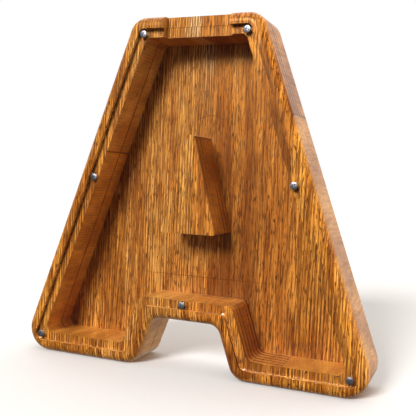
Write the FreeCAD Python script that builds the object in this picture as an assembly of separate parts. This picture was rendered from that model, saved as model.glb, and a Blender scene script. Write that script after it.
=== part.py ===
import FreeCAD, Part
import math
import os

# Letter-A coin bank: an oak body milled from four glued staves, a clear front window and its seven screws.
# Frame: millimetres, +Z up, the front with the window faces -Y, +X is the right-hand side seen from the
# front. The origin is at the middle of the footprint, on the surface that the two feet stand on.

# ---- letter outline, drawn as sharp corners before they are rounded ----
HEIGHT = 231.0
FOOT_SPREAD = 254.0        # width of the letter at the feet, corner to corner
TOP_SPREAD = 88.0          # width of the letter at the top
THICKNESS = 41.0
NOTCH_HEIGHT = 33.5        # gap between the two legs
NOTCH_TOP_WIDTH = 46.0
FOOT_CORNER_R = 16.0
OUTER_CORNER_R = 12.0
NOTCH_CORNER_R = 8.0
ROUND_OVER_R = 6.35        # quarter-inch round-over on the front and back edges

# ---- pocket, rebate and ledge, milled in from the front ----
RIM_WIDTH = 8.0            # wood left outside the window
WALL_WIDTH = 13.5          # wood left outside the pocket, so the ledge is the difference
REBATE_DEPTH = 4.2
REBATE_CORNER_R = 4.0
POCKET_DEPTH = 33.5
POCKET_CORNER_R = 5.0

# ---- the letter's counter, left standing in the pocket ----
COUNTER_LOW_Z = 90.7
COUNTER_HIGH_Z = 154.5
COUNTER_LOW_WIDTH = 39.0
COUNTER_HIGH_WIDTH = 4.6
COUNTER_CORNER_R = 1.5

# ---- coin slot: a step cut down into the front of the top wall, behind the window's top edge ----
SLOT_WIDTH = 46.5
SLOT_CENTRE_X = 1.2        # the slot is cut a little right of the middle
SLOT_DEPTH = 8.5
SLOT_CORNER_R = 1.5

# ---- glue planes between the staves, left to right ----
GLUE_PLANES_X = (-61.5, 2.5, 66.5)
STAVE_NAMES = ("left_outer_stave", "left_inner_stave", "right_inner_stave", "right_outer_stave")

# ---- window ----
WINDOW_THICKNESS = 3.0
WINDOW_EDGE_GAP = 0.3
WINDOW_SEAT_GAP = 0.05
WINDOW_HOLE_R = 1.75

# ---- screws: pan head, number 4 ----
HEAD_R = 2.3
HEAD_HEIGHT = 1.1
HEAD_EDGE_HEIGHT = 0.4
SHANK_R = 1.45
SHANK_LENGTH = 12.0
TIP_LENGTH = 3.0
TIP_R = 0.35
RECESS_ARM = 2.4
RECESS_ARM_WIDTH = 0.6
RECESS_DEPTH = 0.7
PILOT_R = 1.5
PILOT_DEPTH = 10.0
SEAT_GAP = 0.05
SCREW_PLACES = {           # name: (x, z) of each screw's centre
    "top_left": (-35.8, 219.4),
    "top_right": (35.8, 219.4),
    "middle_left": (-69.9, 124.8),
    "middle_right": (69.9, 124.8),
    "bottom_left": (-109.2, 12.2),
    "bottom_right": (109.2, 12.2),
    "notch_top": (-1.0, 44.2),
}

CUTTER_LEAD = 1.0          # how far outside the surface each cut starts

SIDE_SLOPE = (FOOT_SPREAD - TOP_SPREAD) / (2 * HEIGHT)
FRONT_Y = -THICKNESS / 2
LEDGE_Y = FRONT_Y + REBATE_DEPTH
OUTWARD = FreeCAD.Vector(0, -1, 0)


def offset_corners(inset):
    """Corners (x, z, name) of the letter's outline, moved inwards by inset, in order round it."""
    lean = inset * math.hypot(1, SIDE_SLOPE)
    outer_x = FOOT_SPREAD / 2 - lean
    notch_x = NOTCH_TOP_WIDTH / 2 + SIDE_SLOPE * NOTCH_HEIGHT + lean
    low_z = inset
    high_z = HEIGHT - inset
    notch_z = NOTCH_HEIGHT + inset
    right = [
        (notch_x - SIDE_SLOPE * notch_z, notch_z, "notch"),
        (notch_x - SIDE_SLOPE * low_z, low_z, "inner_foot"),
        (outer_x - SIDE_SLOPE * low_z, low_z, "outer_foot"),
        (outer_x - SIDE_SLOPE * high_z, high_z, "shoulder"),
    ]
    left = [(-x, z, name) for x, z, name in reversed(right)]
    return right + left


def rounded_face(corners, y):
    """Flat face at depth y with each corner (x, z, radius) rounded by an arc."""
    points = [FreeCAD.Vector(x, y, z) for x, z, _ in corners]
    edges = []
    starts = []
    ends = []
    arcs = []
    for index, (_, _, radius) in enumerate(corners):
        corner = points[index]
        to_last = (points[index - 1] - corner).normalize()
        to_next = (points[(index + 1) % len(points)] - corner).normalize()
        half_angle = to_last.getAngle(to_next) / 2
        reach = radius / math.tan(half_angle)
        bisector = (to_last + to_next).normalize()
        middle = corner + bisector * (radius / math.sin(half_angle) - radius)
        starts.append(corner + to_last * reach)
        ends.append(corner + to_next * reach)
        arcs.append(middle)
    for index in range(len(points)):
        following = (index + 1) % len(points)
        edges.append(Part.Arc(starts[index], arcs[index], ends[index]).toShape())
        edges.append(Part.LineSegment(ends[index], starts[following]).toShape())
    return Part.Face(Part.Wire(edges))


def letter_face(inset, radius, y, **other_radii):
    """The letter's outline at an inset, as a face at depth y, with any corner's own radius by name."""
    corners = [(x, z, other_radii.get(name, radius)) for x, z, name in offset_corners(inset)]
    return rounded_face(corners, y)


def prism(face, depth):
    """Solid that runs from a face towards +Y."""
    return face.extrude(FreeCAD.Vector(0, depth, 0))


def drilled_hole(x, z, mouth_y, radius, depth):
    """Cutter for a hole drilled towards +Y, from just outside its mouth to its full depth."""
    start = FreeCAD.Vector(x, mouth_y - CUTTER_LEAD, z)
    return Part.makeCylinder(radius, depth + CUTTER_LEAD, start, -OUTWARD)


def counter():
    """The small trapezium that stands in the pocket as the letter's closed counter."""
    low = COUNTER_LOW_WIDTH / 2
    high = COUNTER_HIGH_WIDTH / 2
    corners = [
        (-low, COUNTER_LOW_Z, COUNTER_CORNER_R),
        (low, COUNTER_LOW_Z, COUNTER_CORNER_R),
        (high, COUNTER_HIGH_Z, COUNTER_CORNER_R),
        (-high, COUNTER_HIGH_Z, COUNTER_CORNER_R),
    ]
    return prism(rounded_face(corners, LEDGE_Y), POCKET_DEPTH - REBATE_DEPTH)


def slot_cutter():
    """Step through the front of the top wall, open at the front and above, and into the pocket below."""
    left_x = SLOT_CENTRE_X - SLOT_WIDTH / 2
    right_x = SLOT_CENTRE_X + SLOT_WIDTH / 2
    low_z = HEIGHT - WALL_WIDTH - SLOT_CORNER_R
    high_z = HEIGHT + SLOT_CORNER_R + CUTTER_LEAD
    corners = [
        (left_x, low_z, SLOT_CORNER_R),
        (right_x, low_z, SLOT_CORNER_R),
        (right_x, high_z, SLOT_CORNER_R),
        (left_x, high_z, SLOT_CORNER_R),
    ]
    return prism(rounded_face(corners, FRONT_Y - CUTTER_LEAD), SLOT_DEPTH + CUTTER_LEAD)


def blank():
    """The letter's full outline with its front and back edges rounded over."""
    outline = letter_face(0, OUTER_CORNER_R, FRONT_Y, outer_foot=FOOT_CORNER_R, notch=NOTCH_CORNER_R)
    block = prism(outline, THICKNESS)
    rims = [edge for edge in block.Edges if edge.BoundBox.YLength < 0.001]
    return block.makeFillet(ROUND_OVER_R, rims)


def wooden_body():
    """The whole oak body as one milled piece, before it is divided along its glue planes."""
    lead_y = FRONT_Y - CUTTER_LEAD
    rebate = prism(letter_face(RIM_WIDTH, REBATE_CORNER_R, lead_y), REBATE_DEPTH + CUTTER_LEAD)
    pocket = prism(letter_face(WALL_WIDTH, POCKET_CORNER_R, lead_y), POCKET_DEPTH + CUTTER_LEAD)
    body = blank().cut(rebate).cut(pocket).fuse(counter()).cut(slot_cutter())
    for x, z in SCREW_PLACES.values():
        body = body.cut(drilled_hole(x, z, LEDGE_Y, PILOT_R, PILOT_DEPTH))
    return body.removeSplitter()


def staves():
    """The body divided into its glued boards, as a dictionary of name to solid."""
    body = wooden_body()
    limits = (-FOOT_SPREAD,) + GLUE_PLANES_X + (FOOT_SPREAD,)
    boards = {}
    for name, low_x, high_x in zip(STAVE_NAMES, limits, limits[1:]):
        corner = FreeCAD.Vector(low_x, -THICKNESS, -HEIGHT)
        board = Part.makeBox(high_x - low_x, 2 * THICKNESS, 3 * HEIGHT, corner)
        boards[name] = body.common(board).Solids[0]
    return boards


def window():
    """Clear sheet that closes the front, with a clearance hole for each screw."""
    front_y = LEDGE_Y - WINDOW_SEAT_GAP - WINDOW_THICKNESS
    sheet = prism(letter_face(RIM_WIDTH + WINDOW_EDGE_GAP, REBATE_CORNER_R, front_y), WINDOW_THICKNESS)
    for x, z in SCREW_PLACES.values():
        sheet = sheet.cut(drilled_hole(x, z, front_y, WINDOW_HOLE_R, WINDOW_THICKNESS + CUTTER_LEAD))
    return sheet


def screw(x, z):
    """One pan-head screw, its head seated on the window and its point in the wood."""
    seat_y = LEDGE_Y - WINDOW_SEAT_GAP - WINDOW_THICKNESS - SEAT_GAP
    top_y = seat_y - HEAD_HEIGHT
    edge_y = seat_y - HEAD_EDGE_HEIGHT
    dome_rise = HEAD_HEIGHT - HEAD_EDGE_HEIGHT
    dome_r = (HEAD_R ** 2 + dome_rise ** 2) / (2 * dome_rise)
    half_angle = math.asin(HEAD_R / dome_r) / 2
    middle = FreeCAD.Vector(dome_r * math.sin(half_angle), top_y + dome_r * (1 - math.cos(half_angle)), 0)
    centre_top = FreeCAD.Vector(0, top_y, 0)
    rim_top = FreeCAD.Vector(HEAD_R, edge_y, 0)
    dome = Part.Arc(centre_top, middle, rim_top).toShape()
    outline = [
        rim_top,
        FreeCAD.Vector(HEAD_R, seat_y, 0),
        FreeCAD.Vector(SHANK_R, seat_y, 0),
        FreeCAD.Vector(SHANK_R, seat_y + SHANK_LENGTH - TIP_LENGTH, 0),
        FreeCAD.Vector(TIP_R, seat_y + SHANK_LENGTH, 0),
        FreeCAD.Vector(0, seat_y + SHANK_LENGTH, 0),
        centre_top,
    ]
    sides = [Part.LineSegment(a, b).toShape() for a, b in zip(outline, outline[1:])]
    section = Part.Face(Part.Wire([dome] + sides))
    solid = section.revolve(FreeCAD.Vector(0, 0, 0), OUTWARD, 360)
    for wide, tall in ((RECESS_ARM, RECESS_ARM_WIDTH), (RECESS_ARM_WIDTH, RECESS_ARM)):
        corner = FreeCAD.Vector(-wide / 2, top_y - CUTTER_LEAD, -tall / 2)
        solid = solid.cut(Part.makeBox(wide, RECESS_DEPTH + CUTTER_LEAD, tall, corner))
    solid.translate(FreeCAD.Vector(x, 0, z))
    return solid


def all_parts():
    """Every sub-part of the bank, as a dictionary of node name to solid."""
    parts = staves()
    parts["clear_window"] = window()
    for place, (x, z) in SCREW_PLACES.items():
        parts["screw_" + place] = screw(x, z)
    return parts


def main():
    os.makedirs("parts", exist_ok=True)
    for name, shape in all_parts().items():
        shape.exportStep(os.path.join("parts", name + ".step"))
        print(name, shape.isValid(), shape.ShapeType, round(shape.Volume, 1))


if __name__ == "__main__":
    main()
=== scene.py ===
"""Looks of the letter-A money box: oiled oak boards, a clear acrylic window and bright steel screws.

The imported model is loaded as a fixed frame. The oak boards and the window keep their own meshes and are
dressed with a finish. Each screw is modelled anew, with its thread and its cross recess, and stands for
the plain screw of the frame. Everything is in metres, +Z up, with the window facing -Y.
"""
import logging
import math
from dataclasses import dataclass, field
from enum import Enum

import bmesh
import bpy
from mathutils import Matrix, Vector


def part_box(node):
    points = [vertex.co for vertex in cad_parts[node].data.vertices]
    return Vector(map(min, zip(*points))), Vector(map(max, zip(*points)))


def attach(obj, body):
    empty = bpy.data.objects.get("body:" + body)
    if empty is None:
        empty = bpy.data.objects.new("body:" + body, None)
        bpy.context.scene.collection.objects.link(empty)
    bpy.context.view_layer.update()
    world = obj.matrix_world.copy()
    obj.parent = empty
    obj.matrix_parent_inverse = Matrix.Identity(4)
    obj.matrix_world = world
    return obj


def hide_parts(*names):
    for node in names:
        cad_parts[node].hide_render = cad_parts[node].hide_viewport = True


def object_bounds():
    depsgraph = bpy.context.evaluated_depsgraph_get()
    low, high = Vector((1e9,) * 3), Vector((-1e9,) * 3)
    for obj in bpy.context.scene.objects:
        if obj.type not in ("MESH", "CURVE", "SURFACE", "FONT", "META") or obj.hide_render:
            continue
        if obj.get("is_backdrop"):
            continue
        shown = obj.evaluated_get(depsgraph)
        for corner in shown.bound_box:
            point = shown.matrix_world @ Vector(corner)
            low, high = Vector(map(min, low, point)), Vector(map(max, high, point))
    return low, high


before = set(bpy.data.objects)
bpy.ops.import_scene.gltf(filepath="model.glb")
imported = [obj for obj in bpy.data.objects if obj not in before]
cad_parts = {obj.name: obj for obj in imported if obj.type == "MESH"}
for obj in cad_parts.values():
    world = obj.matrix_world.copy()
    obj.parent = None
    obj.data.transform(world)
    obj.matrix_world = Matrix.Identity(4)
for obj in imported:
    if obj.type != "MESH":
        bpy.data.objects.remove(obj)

LOG = logging.getLogger("money_box")
MM = 0.001
# nearly all the values of a noise lie between these two
NOISE_SPAN = (0.35, 0.65)
FULL_SPAN = (0.0, 1.0)

Colour = tuple[float, float, float, float]
Socket = bpy.types.NodeSocket


# ------------------------------------------------------------------ helpers

def linear(hex_colour: str) -> Colour:
    """Turn an sRGB hex colour into a linear one.

    Args:
        hex_colour: Six hex digits after a hash.

    Returns:
        Linear red, green and blue, with an alpha of 1.
    """
    digits = hex_colour.lstrip("#")
    channels = [int(digits[i:i + 2], 16) / 255 for i in (0, 2, 4)]
    curve = [c / 12.92 if c <= 0.04045 else ((c + 0.055) / 1.055) ** 2.4 for c in channels]
    return (curve[0], curve[1], curve[2], 1.0)


def add_node(tree: bpy.types.NodeTree, kind: str, settings: dict | None = None,
             links: dict | None = None) -> bpy.types.Node:
    """Add a node with its settings and its incoming links.

    Args:
        tree: The node tree to add to.
        kind: The node's type name, such as "ShaderNodeMath".
        settings: Values by attribute name, or by the name or number of an input.
        links: Output sockets by the name or number of the input that each feeds.

    Returns:
        The new node.
    """
    node = tree.nodes.new(kind)
    for key, value in (settings or {}).items():
        if isinstance(key, str) and hasattr(node, key):
            setattr(node, key, value)
        else:
            node.inputs[key].default_value = value
    for key, socket in (links or {}).items():
        tree.links.new(socket, node.inputs[key])
    return node


def new_material(name: str) -> bpy.types.Material:
    """Make a node material with an empty tree.

    Args:
        name: The material's name.

    Returns:
        The material.
    """
    material = bpy.data.materials.new(name)
    material.use_nodes = True
    material.node_tree.nodes.clear()
    return material


def show(tree: bpy.types.NodeTree, shader: Socket) -> None:
    """Lead a shader to the tree's material output."""
    add_node(tree, "ShaderNodeOutputMaterial", {}, {"Surface": shader})


def dress(obj: bpy.types.Object, material: bpy.types.Material) -> None:
    """Give an object one material."""
    obj.data.materials.clear()
    obj.data.materials.append(material)


def object_from(mesh: bmesh.types.BMesh, name: str) -> bpy.types.Object:
    """Turn a bmesh into a linked object at the origin, and free the bmesh.

    Args:
        mesh: The finished bmesh, in the frame's coordinates.
        name: The object's name.

    Returns:
        The object.
    """
    data = bpy.data.meshes.new(name)
    mesh.to_mesh(data)
    mesh.free()
    obj = bpy.data.objects.new(name, data)
    bpy.context.scene.collection.objects.link(obj)
    return obj


# ------------------------------------------------------------------ finishes

@dataclass(frozen=True)
class OakTone:
    """The colours of one board: its earlywood, its latewood and its darkest streaks."""

    pale: str
    deep: str
    streak: str


class Board(Enum):
    """The tone of each glued board beside its neighbours."""

    GOLDEN = OakTone("#E89E42", "#C27A2E", "#602A0A")
    PALE = OakTone("#F0AC54", "#C88238", "#662E0C")
    RED = OakTone("#E6963E", "#B66C28", "#542007")
    HONEY = OakTone("#ECA244", "#C27A2C", "#5E280A")


@dataclass(frozen=True)
class BoardCut:
    """How one board was chosen and sawn: its tone, how its growth rings run, and its sapwood, with painted
    sheen at the top.

    The rings are sheets a gap apart. Unturned they stand upright in the board, and turned by 90 degrees
    they lie flat in it, as in a flat-sawn board. A patch is as far as a ring stays equally strong. The
    share is how dark a ring gets on the front, and ring_on_wall is the same on the walls and sides.
    """

    board: Board
    ring_turn_deg: float
    ring_gap_mm: float
    ring_shift_mm: float = 0.0
    ring_from: float = 0.10
    ring_share: float = 0.70
    ring_on_wall: float = 0.09
    ring_patch_mm: tuple[float, float, float] = (5.0, 60.0, 50.0)
    sapwood_and_sheen_mm: tuple[float, float] | None = None


@dataclass(frozen=True)
class OiledOak:
    """Red oak, planed, milled and oiled: open straight grain, dark pores and a satin sheen.

    Where the growth rings stand upright, a face shows them as close straight streaks and a sloping wall as
    short cross lines. Where they lie flat, they run as long lines down the sides. The patterns are solid
    and go round a corner as real grain does. The oil gives its reflections a warm tint. Real pores are 0.2
    to 0.3 mm wide, too fine to show, so they and the fibres are drawn about twice as wide.
    """

    cut: BoardCut
    place: tuple[float, float, float]
    glue_x: tuple[float, ...]
    floor_y: float
    apex: tuple[float, float, float]

    # sizes across the board, into it and along the grain
    cloud_mm: tuple[float, float, float] = (7.0, 30.0, 110.0)
    fibre_mm: tuple[float, float, float] = (0.65, 20.0, 22.0)
    pore_mm: tuple[float, float, float] = (0.50, 0.9, 6.0)
    fleck_mm: tuple[float, float, float] = (11.0, 11.0, 24.0)
    drift_mm: tuple[float, float, float] = (14.0, 200.0, 130.0)
    drift_by_mm: float = 2.6
    sway_mm: tuple[float, float, float] = (45.0, 200.0, 130.0)
    sway_by_mm: float = 3.0

    # where each pattern starts and is full, and how much it covers
    front_span: tuple[float, float] = (0.2, 0.7)
    ring_edge: float = 0.60
    ring_least: float = 0.3
    fibre_span: tuple[float, float] = (0.42, 0.60)
    fibre_share: float = 0.80
    pore_span: tuple[float, float] = (0.52, 0.66)
    pore_share: float = 0.85
    wall_cloud_share: float = 0.25
    grain_on_wall: float = 0.35
    fleck_reach: tuple[float, float] = (0.055, 0.085)
    fleck_share: float = 0.8
    # the sapwood grows paler towards the top, where it stands partly as painted sheen
    sapwood_and_sheen_from_z_mm: tuple[float, float] = (165.0, 235.0)
    sapwood_and_sheen_share: float = 0.9

    # what gluing and the cutter left, and the painted shade on the hollow's floor
    glue_half: float = 0.22 * MM
    step_y: float = 1.5 * MM
    step_half: float = 0.8 * MM
    step_wall_reach: float = 0.9
    line_half: float = 0.45 * MM
    line_floor_reach: float = 0.6 * MM
    apex_ring: float = 14.8 * MM
    apex_ring_share: float = 0.7
    apex_ring_from_z: float = 166.5 * MM
    low_line_z: float = 59.0 * MM
    low_line_reach: float = 60.0 * MM
    low_line_share: float = 0.6
    mark_share: float = 0.75
    # painted shade on the hollow's floor: how far it reaches and how dark it gets
    floor_reach: float = 1.0 * MM
    floor_shade_share: float = 0.16
    ripple_mm: float = 2.1
    ripple_patch_mm: tuple[float, float, float] = (12.0, 12.0, 12.0)
    ripple_from: float = -0.2
    ripple_wall_reach: float = 0.5
    ripple_share: float = 0.32

    pore_colour: str = "#3A1206"
    fleck_colour: str = "#3E1A08"
    mark_colour: str = "#45200A"
    sapwood_and_sheen_colour: str = "#F6C888"
    lustre: str = "#F2B878"
    roughness: tuple[float, float] = (0.23, 0.39)
    dip_span: tuple[float, float] = (0.40, 0.70)
    dip_strength: float = 0.35
    dip_depth: float = 0.06 * MM
    ripple_depth_share: float = 0.3

    def material(self, name: str) -> bpy.types.Material:
        """Build the finish.

        Args:
            name: The material's name.

        Returns:
            The oak.
        """
        material = new_material(name)
        tree = material.node_tree
        wandering = self.wandering_place(tree)
        rings = self.rings(tree, wandering)
        fibres = self.noise(tree, wandering, self.fibre_mm, 2.0)
        pores = self.noise(tree, wandering, self.pore_mm, 1.0)
        clouds = self.noise(tree, wandering, self.cloud_mm, 2.0)
        ripple = self.ripple(tree)
        front = self.facing_front(tree)

        tone = self.cut.board.value
        deep = linear(tone.deep)
        dark = linear(tone.streak)
        body = self.blend(tree, clouds, NOISE_SPAN, linear(tone.pale), deep)
        # sapwood, faded in towards the top, where it is partly painted sheen on the top rim
        if self.cut.sapwood_and_sheen_mm:
            pale = linear(self.sapwood_and_sheen_colour)
            body = self.blend(tree, self.sapwood_and_sheen(tree), FULL_SPAN, body, pale, self.sapwood_and_sheen_share)
        ring_span = (self.cut.ring_from, self.cut.ring_from + self.ring_edge)
        wall = self.blend(tree, rings, ring_span, body, dark, self.cut.ring_on_wall)
        face = self.blend(tree, rings, ring_span, body, dark, self.cut.ring_share)
        ringed = self.blend(tree, front, self.front_span, wall, face)

        # the sawn ends of the fibres on a wall show less grain than the face does
        fibred = self.blend(tree, fibres, self.fibre_span, ringed, dark, self.fibre_share)
        grained = self.blend(tree, pores, self.pore_span, fibred, linear(self.pore_colour), self.pore_share)
        plain = self.blend(tree, clouds, FULL_SPAN, ringed, deep, self.wall_cloud_share)
        colour = self.blend(tree, front, self.front_span, plain, grained, 1.0, self.grain_on_wall)

        for mask, over, share in (
            (self.flecks(tree), linear(self.fleck_colour), self.fleck_share),
            (self.marks(tree), linear(self.mark_colour), self.mark_share),
            # the hollow's floor takes the streak colour as painted shade
            (self.hollow_floor_shade(tree), dark, self.floor_shade_share),
            (ripple, dark, self.ripple_share),
        ):
            colour = self.blend(tree, mask, FULL_SPAN, colour, over, share)

        dips = add_node(tree, "ShaderNodeMath", {"operation": "MAXIMUM"}, {0: pores, 1: fibres})
        depth = add_node(tree, "ShaderNodeMath", {
            "operation": "MULTIPLY_ADD", 1: self.ripple_depth_share,
        }, {0: ripple, 2: dips.outputs[0]})
        relief = add_node(tree, "ShaderNodeBump", {
            "invert": True, "Strength": self.dip_strength, "Distance": self.dip_depth,
        }, {"Height": depth.outputs[0]})
        smoothest, roughest = self.roughness
        sheen = add_node(tree, "ShaderNodeMapRange", {
            "From Min": self.dip_span[0], "From Max": self.dip_span[1],
            "To Min": smoothest, "To Max": roughest,
        }, {"Value": dips.outputs[0]})
        wood = add_node(tree, "ShaderNodeBsdfPrincipled", {
            "IOR": 1.48, "Specular IOR Level": 0.45, "Specular Tint": linear(self.lustre),
        }, {
            "Base Color": colour,
            "Roughness": sheen.outputs["Result"],
            "Normal": relief.outputs["Normal"],
        })
        show(tree, wood.outputs[0])
        return material

    def xyz(self, tree: bpy.types.NodeTree, which: str) -> bpy.types.NodeOutputs:
        """Split the object's coordinates ("Object") or its normal ("Normal") into X, Y and Z."""
        coordinates = add_node(tree, "ShaderNodeTexCoord").outputs
        return add_node(tree, "ShaderNodeSeparateXYZ", {}, {"Vector": coordinates[which]}).outputs

    def scaled(self, tree: bpy.types.NodeTree, place: Socket, size_mm: tuple[float, float, float]) -> Socket:
        """Measure a place in marks of a real size, from a start that differs from board to board.

        Args:
            tree: The tree to add to.
            place: The coordinates in metres.
            size_mm: A mark's size across the board, into it and along the grain.

        Returns:
            The coordinates, counted in marks.
        """
        return add_node(tree, "ShaderNodeMapping", {
            "vector_type": "TEXTURE", "Location": Vector(self.place), "Scale": Vector(size_mm) * MM,
        }, {"Vector": place}).outputs["Vector"]

    def wandering_place(self, tree: bpy.types.NodeTree) -> Socket:
        """Bend straight grain a little from side to side, and more slowly from front to back.

        Args:
            tree: The tree to add to.

        Returns:
            The object's coordinates, moved by two slow noises.
        """
        place = add_node(tree, "ShaderNodeTexCoord").outputs["Object"]
        aside = add_node(tree, "ShaderNodeMapRange", {
            "To Min": -self.drift_by_mm * MM, "To Max": self.drift_by_mm * MM,
        }, {"Value": self.noise(tree, place, self.drift_mm, 1.0)})
        back = add_node(tree, "ShaderNodeMapRange", {
            "To Min": -self.sway_by_mm * MM, "To Max": self.sway_by_mm * MM,
        }, {"Value": self.noise(tree, place, self.sway_mm, 1.0)})
        step = add_node(tree, "ShaderNodeCombineXYZ", {}, {
            "X": aside.outputs["Result"], "Y": back.outputs["Result"],
        })
        moved = add_node(tree, "ShaderNodeVectorMath", {"operation": "ADD"}, {
            0: place, 1: step.outputs["Vector"],
        })
        return moved.outputs["Vector"]

    def noise(self, tree: bpy.types.NodeTree, place: Socket, size_mm: tuple[float, float, float],
              detail: float) -> Socket:
        """Noise whose marks have a real size across, into and along the board.

        Args:
            tree: The tree to add to.
            place: The coordinates it is read at.
            size_mm: A mark's size across the board, into it and along the grain.
            detail: Octaves of finer noise.

        Returns:
            The noise, from 0 to 1.
        """
        return add_node(tree, "ShaderNodeTexNoise", {
            "Scale": 1.0, "Detail": detail, "Roughness": 0.55,
        }, {"Vector": self.scaled(tree, place, size_mm)}).outputs["Fac"]

    def rings(self, tree: bpy.types.NodeTree, place: Socket) -> Socket:
        """Draw the growth rings as evenly spaced sheets, here strong and there faint.

        Args:
            tree: The tree to add to.
            place: The coordinates they are read at.

        Returns:
            A mask, 1 in the middle of a strong ring's dark wood.
        """
        mapped = add_node(tree, "ShaderNodeMapping", {
            "vector_type": "TEXTURE",
            "Location": Vector(self.place),
            "Rotation": (0.0, 0.0, math.radians(self.cut.ring_turn_deg)),
        }, {"Vector": place})
        across = add_node(tree, "ShaderNodeSeparateXYZ", {}, {"Vector": mapped.outputs["Vector"]})
        turns = add_node(tree, "ShaderNodeMath", {
            "operation": "MULTIPLY_ADD",
            1: 2 * math.pi / (self.cut.ring_gap_mm * MM),
            2: 2 * math.pi * self.cut.ring_shift_mm / self.cut.ring_gap_mm,
        }, {0: across.outputs["X"]})
        wave = add_node(tree, "ShaderNodeMath", {"operation": "SINE"}, {0: turns.outputs[0]})
        band = add_node(tree, "ShaderNodeMapRange", {"From Min": -1.0}, {"Value": wave.outputs[0]})
        patch = add_node(tree, "ShaderNodeMapRange", {
            "From Min": NOISE_SPAN[0], "From Max": NOISE_SPAN[1], "To Min": self.ring_least,
        }, {"Value": self.noise(tree, place, self.cut.ring_patch_mm, 1.0)})
        return self.both(tree, band.outputs["Result"], patch.outputs["Result"])

    def facing_front(self, tree: bpy.types.NodeTree) -> Socket:
        """Measure how squarely a face looks to the front or the back.

        Args:
            tree: The tree to add to.

        Returns:
            1 on the front and the floor of the hollow, 0 on a wall.
        """
        return add_node(tree, "ShaderNodeMath", {"operation": "ABSOLUTE"}, {
            0: self.xyz(tree, "Normal")["Y"],
        }).outputs[0]

    def sapwood_and_sheen(self, tree: bpy.types.NodeTree) -> Socket:
        """Find the paler strip of sapwood, which fades out down the board, so that at the top it is also
        painted sheen.

        Args:
            tree: The tree to add to.

        Returns:
            A mask, 1 in the sapwood.
        """
        place = self.xyz(tree, "Object")
        low, high = self.cut.sapwood_and_sheen_mm
        strip = self.stripe(tree, place["X"], (low + high) / 2 * MM, (high - low) / 2 * MM)
        start, full = self.sapwood_and_sheen_from_z_mm
        rise = add_node(tree, "ShaderNodeMapRange", {"From Min": start * MM, "From Max": full * MM}, {
            "Value": place["Z"],
        })
        return self.both(tree, strip, rise.outputs["Result"])

    def hollow_floor_shade(self, tree: bpy.types.NodeTree) -> Socket:
        """Find the floor of the hollow, which is darkened as painted shade, for the shade that lies deep in
        the hollow.

        Args:
            tree: The tree to add to.

        Returns:
            A mask, 1 on the floor.
        """
        level = self.stripe(tree, self.xyz(tree, "Object")["Y"], self.floor_y, self.floor_reach)
        return self.both(tree, level, self.facing_front(tree))

    def facing_inward(self, tree: bpy.types.NodeTree) -> Socket:
        """Find the walls that look towards the middle of the box, as those of the hollow do.

        Args:
            tree: The tree to add to.

        Returns:
            1 on such a wall, 0 on an outer side.
        """
        product = add_node(tree, "ShaderNodeMath", {"operation": "MULTIPLY"}, {
            0: self.xyz(tree, "Object")["X"], 1: self.xyz(tree, "Normal")["X"],
        })
        return add_node(tree, "ShaderNodeMath", {"operation": "LESS_THAN", 1: 0.0}, {
            0: product.outputs[0],
        }).outputs[0]

    def flecks(self, tree: bpy.types.NodeTree) -> Socket:
        """Find the rare small dark dashes, such as pin knots.

        Args:
            tree: The tree to add to.

        Returns:
            A mask, 1 in a dash.
        """
        place = add_node(tree, "ShaderNodeTexCoord").outputs["Object"]
        cells = add_node(tree, "ShaderNodeTexVoronoi", {"Scale": 1.0}, {
            "Vector": self.scaled(tree, place, self.fleck_mm),
        })
        near = add_node(tree, "ShaderNodeMapRange", {
            "From Min": self.fleck_reach[0], "From Max": self.fleck_reach[1], "To Min": 1.0, "To Max": 0.0,
        }, {"Value": cells.outputs["Distance"]})
        return near.outputs["Result"]

    def stripe(self, tree: bpy.types.NodeTree, value: Socket, at: float, half: float) -> Socket:
        """Find where a value is close to another.

        Args:
            tree: The tree to add to.
            value: The value, such as a coordinate in metres.
            at: The value at the stripe's middle.
            half: The stripe's half width.

        Returns:
            A mask, 1 in the stripe's middle and 0 outside it.
        """
        off = add_node(tree, "ShaderNodeMath", {"operation": "SUBTRACT", 1: at}, {0: value})
        far = add_node(tree, "ShaderNodeMath", {"operation": "ABSOLUTE"}, {0: off.outputs[0]})
        near = add_node(tree, "ShaderNodeMapRange", {
            "From Min": half * 0.5, "From Max": half, "To Min": 1.0, "To Max": 0.0,
        }, {"Value": far.outputs[0]})
        return near.outputs["Result"]

    def marks(self, tree: bpy.types.NodeTree) -> Socket:
        """Find the lines that gluing and milling left: the glue lines and the steps between two cuts.

        Args:
            tree: The tree to add to.

        Returns:
            A mask, 1 in a line.
        """
        place = add_node(tree, "ShaderNodeTexCoord").outputs["Object"]
        xyz = self.xyz(tree, "Object")
        masks = [self.stripe(tree, xyz["X"], x, self.glue_half) for x in self.glue_x]

        # the walls were cut in two depths, which left a line along them
        wall = self.stripe(tree, self.xyz(tree, "Normal")["Y"], 0.0, self.step_wall_reach)
        step = self.stripe(tree, xyz["Y"], self.step_y, self.step_half)
        masks.append(self.both(tree, self.both(tree, wall, step), self.facing_inward(tree)))

        # the cutter's edge left a faint line on the hollow's floor, round the counter and over the notch
        floor = self.stripe(tree, xyz["Y"], self.floor_y, self.line_floor_reach)
        apex = add_node(tree, "ShaderNodeVectorMath", {"operation": "DISTANCE", 1: self.apex}, {0: place})
        ring = self.stripe(tree, apex.outputs["Value"], self.apex_ring, self.line_half)
        above = add_node(tree, "ShaderNodeMath", {"operation": "GREATER_THAN", 1: self.apex_ring_from_z}, {
            0: xyz["Z"],
        })
        low = self.stripe(tree, xyz["Z"], self.low_line_z, self.line_half)
        between = self.stripe(tree, xyz["X"], 0.0, self.low_line_reach)
        masks.append(self.both(tree, self.both(tree, floor, ring), above.outputs[0], self.apex_ring_share))
        masks.append(self.both(tree, self.both(tree, floor, low), between, self.low_line_share))

        most = masks[0]
        for mask in masks[1:]:
            most = add_node(tree, "ShaderNodeMath", {"operation": "MAXIMUM"}, {0: most, 1: mask}).outputs[0]
        return most

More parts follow.
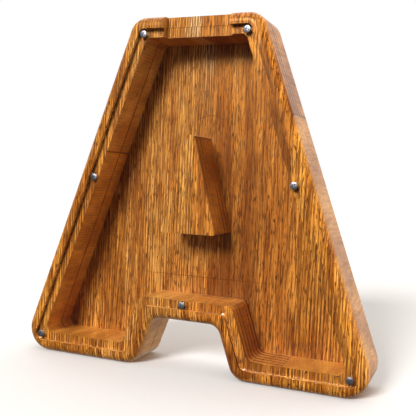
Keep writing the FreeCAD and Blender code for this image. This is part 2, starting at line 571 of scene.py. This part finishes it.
    def both(self, tree: bpy.types.NodeTree, one: Socket, other: Socket, share: float = 1.0) -> Socket:
        """Keep what lies in two masks.

        Args:
            tree: The tree to add to.
            one: The first mask.
            other: The second mask.
            share: How strong the result is.

        Returns:
            The masks' product, scaled.
        """
        product = add_node(tree, "ShaderNodeMath", {"operation": "MULTIPLY"}, {0: one, 1: other})
        return add_node(tree, "ShaderNodeMath", {"operation": "MULTIPLY", 1: share}, {
            0: product.outputs[0],
        }).outputs[0]

    def ripple(self, tree: bpy.types.NodeTree) -> Socket:
        """Find the fine ripples that a turning cutter leaves across the walls, about 2 mm apart.

        Args:
            tree: The tree to add to.

        Returns:
            A mask, 1 in a ripple's hollow.
        """
        coordinates = add_node(tree, "ShaderNodeTexCoord").outputs
        along = add_node(tree, "ShaderNodeVectorMath", {"operation": "CROSS_PRODUCT", 1: (0.0, 1.0, 0.0)}, {
            0: coordinates["Normal"],
        })
        way = add_node(tree, "ShaderNodeVectorMath", {"operation": "DOT_PRODUCT"}, {
            0: coordinates["Object"], 1: along.outputs["Vector"],
        })
        turns = add_node(tree, "ShaderNodeMath", {
            "operation": "MULTIPLY", 1: 2 * math.pi / (self.ripple_mm * MM),
        }, {0: way.outputs["Value"]})
        wave = add_node(tree, "ShaderNodeMath", {"operation": "SINE"}, {0: turns.outputs[0]})
        dips = add_node(tree, "ShaderNodeMapRange", {"From Min": self.ripple_from}, {
            "Value": wave.outputs[0],
        })
        patches = add_node(tree, "ShaderNodeMapRange", {
            "From Min": NOISE_SPAN[0], "From Max": NOISE_SPAN[1],
        }, {"Value": self.noise(tree, coordinates["Object"], self.ripple_patch_mm, 1.0)})
        wall = self.stripe(tree, self.xyz(tree, "Normal")["Y"], 0.0, self.ripple_wall_reach)
        cut = self.both(tree, dips.outputs["Result"], patches.outputs["Result"])
        return self.both(tree, self.both(tree, cut, wall), self.facing_inward(tree))

    def blend(self, tree: bpy.types.NodeTree, mask: Socket, span: tuple[float, float],
              under: Socket | Colour, over: Socket | Colour, most: float = 1.0, least: float = 0.0) -> Socket:
        """Lay one colour over another where a pattern is strong.

        Args:
            tree: The tree to add to.
            mask: The pattern.
            span: The pattern's values where the upper colour starts and is full.
            under: The colour below.
            over: The colour above.
            most: How much the upper colour covers at its fullest.
            least: How much it covers where the pattern is weakest.

        Returns:
            The mixed colour.
        """
        share = add_node(tree, "ShaderNodeMapRange", {
            "interpolation_type": "SMOOTHSTEP", "From Min": span[0], "From Max": span[1],
            "To Min": least, "To Max": most,
        }, {"Value": mask})
        links = {0: share.outputs["Result"]}
        settings = {"data_type": "RGBA"}
        for slot, colour in ((6, under), (7, over)):
            (settings if isinstance(colour, tuple) else links)[slot] = colour
        return add_node(tree, "ShaderNodeMix", settings, links).outputs[2]


@dataclass(frozen=True)
class CastAcrylic:
    """Cast acrylic, cut by a laser and left glossy: water-clear, seen by its bright and dark edges."""

    tint: str = "#FEFFFE"
    light_left: str = "#FAFBFA"
    roughness: float = 0.0
    wave_mm: float = 30.0
    wave_strength: float = 0.02
    wave_depth: float = 0.02 * MM

    def material(self, name: str) -> bpy.types.Material:
        """Build the finish.

        Args:
            name: The material's name.

        Returns:
            The acrylic. Light from the lamps goes straight through it to the oak behind.
        """
        material = new_material(name)
        tree = material.node_tree
        place = add_node(tree, "ShaderNodeTexCoord").outputs["Object"]
        slow = add_node(tree, "ShaderNodeTexNoise", {"Scale": 1 / (self.wave_mm * MM)}, {"Vector": place})
        wave = add_node(tree, "ShaderNodeBump", {
            "Strength": self.wave_strength, "Distance": self.wave_depth,
        }, {"Height": slow.outputs["Fac"]})
        clear = add_node(tree, "ShaderNodeBsdfPrincipled", {
            "Base Color": linear(self.tint),
            "Roughness": self.roughness,
            "IOR": 1.49,
            "Transmission Weight": 1.0,
        }, {"Normal": wave.outputs["Normal"]})
        gap = add_node(tree, "ShaderNodeBsdfTransparent", {"Color": linear(self.light_left)})
        path = add_node(tree, "ShaderNodeLightPath")
        lamps = add_node(tree, "ShaderNodeMixShader", {}, {
            0: path.outputs["Is Shadow Ray"], 1: clear.outputs[0], 2: gap.outputs[0],
        })
        bounced = add_node(tree, "ShaderNodeMixShader", {}, {
            0: path.outputs["Is Diffuse Ray"], 1: lamps.outputs[0], 2: gap.outputs[0],
        })
        show(tree, bounced.outputs[0])
        return material


@dataclass(frozen=True)
class ZincPlatedSteel:
    """Cold-headed steel with zinc plating: a cool, soft mirror, broken a little by the plating's grain.

    The real grain is far too fine to show, so it is drawn 0.3 mm wide.
    """

    bright: str = "#96969A"
    dull: str = "#5C5D62"
    roughness: tuple[float, float] = (0.30, 0.50)
    grain_mm: float = 0.3
    grain_strength: float = 0.2
    grain_depth: float = 0.01 * MM

    def material(self, name: str) -> bpy.types.Material:
        """Build the finish.

        Args:
            name: The material's name.

        Returns:
            The plated steel.
        """
        material = new_material(name)
        tree = material.node_tree
        place = add_node(tree, "ShaderNodeTexCoord").outputs["Object"]
        grain = add_node(tree, "ShaderNodeTexNoise", {"Scale": 1 / (self.grain_mm * MM)}, {"Vector": place})
        tone = add_node(tree, "ShaderNodeMix", {
            "data_type": "RGBA", 6: linear(self.bright), 7: linear(self.dull),
        }, {0: grain.outputs["Fac"]})
        smoothest, roughest = self.roughness
        rough = add_node(tree, "ShaderNodeMapRange", {"To Min": smoothest, "To Max": roughest}, {
            "Value": grain.outputs["Fac"],
        })
        relief = add_node(tree, "ShaderNodeBump", {
            "Strength": self.grain_strength, "Distance": self.grain_depth,
        }, {"Height": grain.outputs["Fac"]})
        steel = add_node(tree, "ShaderNodeBsdfPrincipled", {"Metallic": 1.0}, {
            "Base Color": tone.outputs[2],
            "Roughness": rough.outputs["Result"],
            "Normal": relief.outputs["Normal"],
        })
        show(tree, steel.outputs[0])
        return material


@dataclass(frozen=True)
class MattLaminate:
    """Pressed laminate with a matt face: an even off-white, speckled so little that it looks plain."""

    lighter: str = "#DEDDDC"
    darker: str = "#DAD9D8"
    speckle_mm: float = 2.5

    def material(self, name: str, mirrored_glow: float) -> bpy.types.Material:
        """Build the finish.

        Args:
            name: The material's name.
            mirrored_glow: How bright the table is in the window's inner mirror image.

        Returns:
            The laminate. In a mirror image it is as dim as the room in front, so no haze lies on the oak.
        """
        material = new_material(name)
        tree = material.node_tree
        place = add_node(tree, "ShaderNodeTexCoord").outputs["Object"]
        speckle = add_node(tree, "ShaderNodeTexNoise", {"Scale": 1 / (self.speckle_mm * MM)}, {
            "Vector": place,
        })
        tone = add_node(tree, "ShaderNodeMix", {
            "data_type": "RGBA", 6: linear(self.darker), 7: linear(self.lighter),
        }, {0: speckle.outputs["Fac"]})
        matt = add_node(tree, "ShaderNodeBsdfDiffuse", {}, {"Color": tone.outputs[2]})
        dim = add_node(tree, "ShaderNodeEmission", {"Strength": mirrored_glow})
        mirrored = add_node(tree, "ShaderNodeMath", {"operation": "GREATER_THAN", 1: 0.5}, {
            0: add_node(tree, "ShaderNodeLightPath").outputs["Glossy Depth"],
        })
        laminate = add_node(tree, "ShaderNodeMixShader", {}, {
            0: mirrored.outputs[0], 1: matt.outputs[0], 2: dim.outputs[0],
        })
        show(tree, laminate.outputs[0])
        return material


# ------------------------------------------------------------------ sub-assemblies

@dataclass
class OakBody:
    """The four glued boards of the body, each with its own tone and its own run of grain."""

    cuts: dict[str, BoardCut] = field(default_factory=lambda: {
        "left_outer_stave": BoardCut(Board.GOLDEN, 6.0, 1.9),
        "left_inner_stave": BoardCut(Board.PALE, -8.0, 1.8, sapwood_and_sheen_mm=(-9.0, 9.0)),
        "right_inner_stave": BoardCut(
            Board.RED, 86.0, 5.3, ring_shift_mm=-1.5, ring_from=0.25, ring_share=0.70, ring_on_wall=1.0,
            ring_patch_mm=(90.0, 20.0, 90.0),
        ),
        "right_outer_stave": BoardCut(Board.HONEY, 12.0, 2.1),
    })
    board_apart: tuple[float, float, float] = (0.37, 0.11, 0.23)
    pocket_floor_y: float = 13.0 * MM
    counter_apex: tuple[float, float, float] = (1.7 * MM, 13.0 * MM, 155.0 * MM)

    def dress(self) -> None:
        """Give every board its oak."""
        side_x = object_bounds()[1].x
        for index, (node, cut) in enumerate(self.cuts.items()):
            low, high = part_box(node)
            oak = OiledOak(
                cut=cut,
                place=tuple(index * apart for apart in self.board_apart),
                glue_x=tuple(x for x in (low.x, high.x) if abs(x) < side_x - MM),
                floor_y=self.pocket_floor_y,
                apex=self.counter_apex,
            )
            dress(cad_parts[node], oak.material("oiled_red_oak_" + node))
            LOG.info("dressed %s", node)


@dataclass
class Window:
    """The clear sheet that closes the front."""

    node: str = "clear_window"

    def dress(self) -> None:
        """Give the sheet its acrylic."""
        dress(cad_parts[self.node], CastAcrylic().material("cast_acrylic"))
        LOG.info("dressed %s", self.node)


@dataclass
class PanScrew:
    """A pan-head wood screw with a cross recess, made about the Y axis with its head's top at the origin.

    The point's shoulder is a share of the core's radius and of the point's length.
    """

    node: str
    turn_deg: float
    sides: int = 48
    sharp_deg: float = 35.0
    head_height: float = 1.1 * MM
    head_edge: float = 0.82 * MM
    edge_round: float = 0.18 * MM
    dome_steps: int = 8
    core_r: float = 1.02 * MM
    crest_r: float = 1.42 * MM
    pitch: float = 1.0 * MM
    plain_neck: float = 1.0 * MM
    point: float = 3.0 * MM
    shoulder: tuple[float, float] = (0.45, 0.4)
    thread_steps: int = 24
    thread_root: float = 0.94 * MM
    thread_start_share: float = 0.7
    recess_arm: float = 1.45 * MM
    recess_width: float = 0.80 * MM
    recess_depth: float = 0.7 * MM
    recess_taper: float = 0.55
    dome_share: float = 0.95
    cut_within: float = 0.0005 * MM
    merge_within: float = 0.001 * MM

    def build(self) -> bpy.types.Object:
        """Model the screw in its place.

        Returns:
            The screw, riding on its body in place of the frame's plain one.
        """
        low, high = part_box(self.node)
        length = high.y - low.y
        head_r = (high.x - low.x) / 2
        mesh = bmesh.new()
        self.spin_outline(mesh, head_r, length)
        self.cut_recess(mesh)
        self.wind_thread(mesh, length)
        turn = Matrix.Rotation(math.radians(self.turn_deg), 4, "Y")
        middle = (low + high) / 2
        move = Matrix.Translation((middle.x, low.y, middle.z))
        bmesh.ops.transform(mesh, matrix=move @ turn, verts=mesh.verts)
        for face in mesh.faces:
            face.smooth = True
        screw = object_from(mesh, "pan_" + self.node)
        screw.data.set_sharp_from_angle(angle=math.radians(self.sharp_deg))
        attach(screw, self.node + "_body")
        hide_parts(self.node)
        return screw

    def spin_outline(self, mesh: bmesh.types.BMesh, head_r: float, length: float) -> None:
        """Spin the half outline of head, core and point round the axis.

        Args:
            mesh: The bmesh to add to.
            head_r: The head's radius.
            length: From the head's top to the point.
        """
        rise = self.head_height - self.head_edge
        dome_r = (rise ** 2 + head_r ** 2) / (2 * rise)
        reach = math.asin(head_r / dome_r)
        angles = [reach * i / self.dome_steps for i in range(self.dome_steps + 1)]
        dome = [(dome_r * math.sin(angle), dome_r * (1 - math.cos(angle))) for angle in angles]
        narrow, short = self.shoulder
        rest = [
            (head_r, self.head_height - self.edge_round),
            (head_r - self.edge_round, self.head_height),
            (self.core_r + self.edge_round, self.head_height),
            (self.core_r, self.head_height + self.edge_round),
            (self.core_r, length - self.point),
            (self.core_r * narrow, length - self.point * short),
            (0.0, length),
        ]
        outline = [mesh.verts.new((x, y, 0.0)) for x, y in dome + rest]
        edges = [mesh.edges.new(pair) for pair in zip(outline, outline[1:])]
        bmesh.ops.spin(
            mesh, geom=outline + edges, cent=(0, 0, 0), axis=(0, 1, 0), dvec=(0, 0, 0),
            angle=2 * math.pi, steps=self.sides, use_merge=True, use_duplicate=False,
        )
        bmesh.ops.remove_doubles(mesh, verts=mesh.verts, dist=self.merge_within)
        bmesh.ops.recalc_face_normals(mesh, faces=mesh.faces)

    def cut_recess(self, mesh: bmesh.types.BMesh) -> None:
        """Sink the cross recess, narrowing towards its floor.

        Args:
            mesh: The bmesh of the spun screw.
        """
        half = self.recess_width / 2
        arm = self.recess_arm
        top = self.head_height - self.head_edge
        # the dome is cut along the cross's outline, and the cross is then pushed in
        for axis in (Vector((1, 0, 0)), Vector((0, 0, 1))):
            for offset in (-arm, -half, half, arm):
                cap = [f for f in mesh.faces if f.calc_center_median().y < top * self.dome_share]
                edges = {edge for face in cap for edge in face.edges}
                verts = {vert for face in cap for vert in face.verts}
                bmesh.ops.bisect_plane(
                    mesh, geom=cap + list(edges) + list(verts), dist=self.cut_within,
                    plane_co=axis * offset, plane_no=axis,
                )
        cross = []
        for face in mesh.faces:
            centre = face.calc_center_median()
            along, across = sorted((abs(centre.x), abs(centre.z)), reverse=True)
            if centre.y < top and across < half and along < arm:
                cross.append(face)
        sunk = bmesh.ops.extrude_face_region(mesh, geom=cross)["geom"]
        floor = [v for v in sunk if isinstance(v, bmesh.types.BMVert)]
        bmesh.ops.delete(mesh, geom=cross, context="FACES")
        for vert in floor:
            vert.co.x *= self.recess_taper
            vert.co.z *= self.recess_taper
            vert.co.y = self.recess_depth
        bmesh.ops.recalc_face_normals(mesh, faces=mesh.faces)

    def wind_thread(self, mesh: bmesh.types.BMesh, length: float) -> None:
        """Wind the thread's ridge up the core, sinking it into the point.

        Args:
            mesh: The bmesh to add to.
            length: From the head's top to the point.
        """
        start = self.head_height + self.plain_neck
        turns = int((length - self.pitch - start) / self.pitch)
        foot = self.pitch / 2
        ridge = [
            mesh.verts.new((self.thread_root, start, 0.0)),
            mesh.verts.new((self.crest_r, start + foot / 2, 0.0)),
            mesh.verts.new((self.thread_root, start + foot, 0.0)),
        ]
        face = mesh.faces.new(ridge)
        before = set(mesh.faces) - {face}
        bmesh.ops.spin(
            mesh, geom=[face] + list(face.edges) + ridge, cent=(0, 0, 0), axis=(0, 1, 0),
            dvec=(0, self.pitch / self.thread_steps, 0), angle=2 * math.pi * turns,
            steps=turns * self.thread_steps,
            use_merge=False, use_duplicate=False,
        )
        # the thread runs in at its upper end and out in the point
        wound = [f for f in mesh.faces if f not in before]
        taper_from = length - self.point
        for vert in {v for f in wound for v in f.verts}:
            left = (length - vert.co.y) / self.point
            run_in = (vert.co.y - start) / self.pitch
            share = min(1.0, max(0.0, left)) if vert.co.y > taper_from else 1.0
            share *= min(1.0, self.thread_start_share + (1 - self.thread_start_share) * max(run_in, 0.0))
            vert.co.x *= share
            vert.co.z *= share
        bmesh.ops.recalc_face_normals(mesh, faces=wound)


@dataclass
class Screws:
    """The seven screws that hold the window, each stopped at its own angle when it was driven."""

    turns_deg: dict[str, float] = field(default_factory=lambda: {
        "screw_top_left": 24.0,
        "screw_top_right": 8.0,
        "screw_middle_left": 62.0,
        "screw_middle_right": 35.0,
        "screw_bottom_left": 15.0,
        "screw_bottom_right": 48.0,
        "screw_notch_top": 80.0,
    })

    def build(self) -> list[bpy.types.Object]:
        """Model all the screws.

        Returns:
            The screws' objects.
        """
        screws = []
        for node, turn in self.turns_deg.items():
            screws.append(PanScrew(node, turn).build())
            LOG.info("built %s", node)
        return screws

    def dress(self, screws: list[bpy.types.Object]) -> None:
        """Give every screw the same plated steel."""
        steel = ZincPlatedSteel().material("zinc_plated_steel")
        for screw in screws:
            dress(screw, steel)


# ------------------------------------------------------------------ studio

@dataclass(frozen=True)
class Fade:
    """How a part of the room's glow changes between two values of a direction's X, Y or Z."""

    axis: str
    span: tuple[float, float]
    glow: tuple[float, float]


@dataclass
class Studio:
    """A pale table in a white room with plain soft light.

    One large soft light stands in front, a little to the left. The room is dim in front, so the window
    stays clear. It glows behind, less below the horizon, and overhead, and most in a strip on the right,
    which fades out upwards as low says.
    """

    table_side: float = 40.0
    key_strength: float = 4.6
    key_angle_deg: float = 20.0
    key_left_deg: float = 12.0
    key_up_deg: float = 28.0
    glow_colour: str = "#FFFAF4"
    behind: Fade = Fade("Y", (-0.25, 0.45), (0.0, 1.0))
    below: Fade = Fade("Z", (-0.5, 0.0), (0.5, 1.0))
    right: Fade = Fade("X", (0.65, 0.95), (0.0, 3.7))
    low: Fade = Fade("Z", (0.0, 0.45), (1.0, 0.0))
    front: Fade = Fade("Z", (-0.35, -0.05), (0.08, 0.03))
    overhead: Fade = Fade("Z", (0.55, 0.90), (0.0, 1.0))

    def build(self) -> None:
        """Set up the table, the room and the light."""
        self.lay_table()
        self.paint_room()
        self.hang_key()
        bpy.context.scene.view_settings.view_transform = "Standard"
        LOG.info("built the studio")

    def lay_table(self) -> None:
        """Lay the pale table under the feet."""
        mesh = bmesh.new()
        bmesh.ops.create_grid(mesh, x_segments=8, y_segments=8, size=self.table_side / 2)
        bmesh.ops.translate(mesh, vec=(0.0, 0.0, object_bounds()[0].z), verts=mesh.verts)
        table = object_from(mesh, "table")
        dress(table, MattLaminate().material("matt_white_laminate", self.front.glow[1]))
        # light that bounces off the table would fill the hollow's shade
        table.visible_diffuse = False
        table.visible_glossy = False
        table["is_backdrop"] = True

    def paint_room(self) -> None:
        """Light the room as its fades say, and make it plain white to the eye."""
        world = bpy.data.worlds.new("white_room")
        bpy.context.scene.world = world
        world.use_nodes = True
        tree = world.node_tree
        tree.nodes.clear()
        way = add_node(tree, "ShaderNodeTexCoord").outputs["Generated"]
        parts = add_node(tree, "ShaderNodeSeparateXYZ", {}, {"Vector": way})
        behind, below, right, low, front, overhead = (
            add_node(tree, "ShaderNodeMapRange", {
                "interpolation_type": "SMOOTHSTEP", "From Min": fade.span[0], "From Max": fade.span[1],
                "To Min": fade.glow[0], "To Max": fade.glow[1],
            }, {"Value": parts.outputs[fade.axis]}).outputs["Result"]
            for fade in (self.behind, self.below, self.right, self.low, self.front, self.overhead)
        )
        strip = add_node(tree, "ShaderNodeMath", {"operation": "MULTIPLY"}, {0: right, 1: low}).outputs[0]
        glow = behind
        for operation, other in (
            ("MULTIPLY", below), ("MAXIMUM", strip), ("MAXIMUM", front), ("ADD", overhead),
        ):
            glow = add_node(tree, "ShaderNodeMath", {"operation": operation}, {0: glow, 1: other}).outputs[0]
        light = add_node(tree, "ShaderNodeBackground", {"Color": linear(self.glow_colour)}, {
            "Strength": glow,
        })
        seen = add_node(tree, "ShaderNodeBackground", {"Strength": 1.0, "Color": linear("#FFFFFF")})

        # the eye sees plain white, straight and through the window, but not mirrored within the window
        path = add_node(tree, "ShaderNodeLightPath")
        mirrored = add_node(tree, "ShaderNodeMath", {"operation": "GREATER_THAN", 1: 0.5}, {
            0: path.outputs["Glossy Depth"],
        })
        through = add_node(tree, "ShaderNodeMath", {"operation": "SUBTRACT", "use_clamp": True}, {
            0: path.outputs["Is Transmission Ray"], 1: mirrored.outputs[0],
        })
        straight = add_node(tree, "ShaderNodeMath", {"operation": "MAXIMUM"}, {
            0: path.outputs["Is Camera Ray"], 1: through.outputs[0],
        })
        room = add_node(tree, "ShaderNodeMixShader", {}, {
            0: straight.outputs[0], 1: light.outputs[0], 2: seen.outputs[0],
        })
        add_node(tree, "ShaderNodeOutputWorld", {}, {"Surface": room.outputs[0]})

    def hang_key(self) -> None:
        """Hang the large soft light."""
        lamp = bpy.data.lights.new("key_softbox", "SUN")
        lamp.energy = self.key_strength
        lamp.angle = math.radians(self.key_angle_deg)
        key = bpy.data.objects.new("key_softbox", lamp)
        side = math.radians(self.key_left_deg)
        rise = math.radians(self.key_up_deg)
        towards = Vector((-math.sin(side) * math.cos(rise), -math.cos(side) * math.cos(rise), math.sin(rise)))
        key.rotation_euler = towards.to_track_quat("Z", "Y").to_euler()
        bpy.context.scene.collection.objects.link(key)


@dataclass
class Viewpoint:
    """The camera: level with the box's middle, to its right, and turned slightly about its own axis."""

    place: tuple[float, float, float] = (0.17356, -0.40823, 0.12783)
    yaw_deg: float = 22.552
    tilt_deg: float = 87.224
    roll_deg: float = 2.390
    lens: float = 57.44
    sensor: float = 36.0
    nearest: float = 0.01
    shift_x: float = 0.00964
    shift_y: float = 0.00303

    def build(self) -> None:
        """Set up the camera."""
        eye = bpy.data.cameras.new("camera")
        eye.lens = self.lens
        eye.sensor_width = self.sensor
        eye.shift_x = self.shift_x
        eye.shift_y = self.shift_y
        eye.clip_start = self.nearest
        camera = bpy.data.objects.new("camera", eye)
        bpy.context.scene.collection.objects.link(camera)
        camera.matrix_world = (
            Matrix.Translation(self.place)
            @ Matrix.Rotation(math.radians(self.yaw_deg), 4, "Z")
            @ Matrix.Rotation(math.radians(self.tilt_deg), 4, "X")
            @ Matrix.Rotation(math.radians(self.roll_deg), 4, "Z")
        )
        bpy.context.scene.camera = camera
        LOG.info("built the camera")


def main() -> None:
    """Dress and build the money box, the studio and the camera."""
    logging.basicConfig(level=logging.INFO, format="%(name)s: %(message)s")
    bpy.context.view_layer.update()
    OakBody().dress()
    Window().dress()
    screws = Screws()
    screws.dress(screws.build())
    Studio().build()
    Viewpoint().build()


if __name__ == "__main__":
    main()
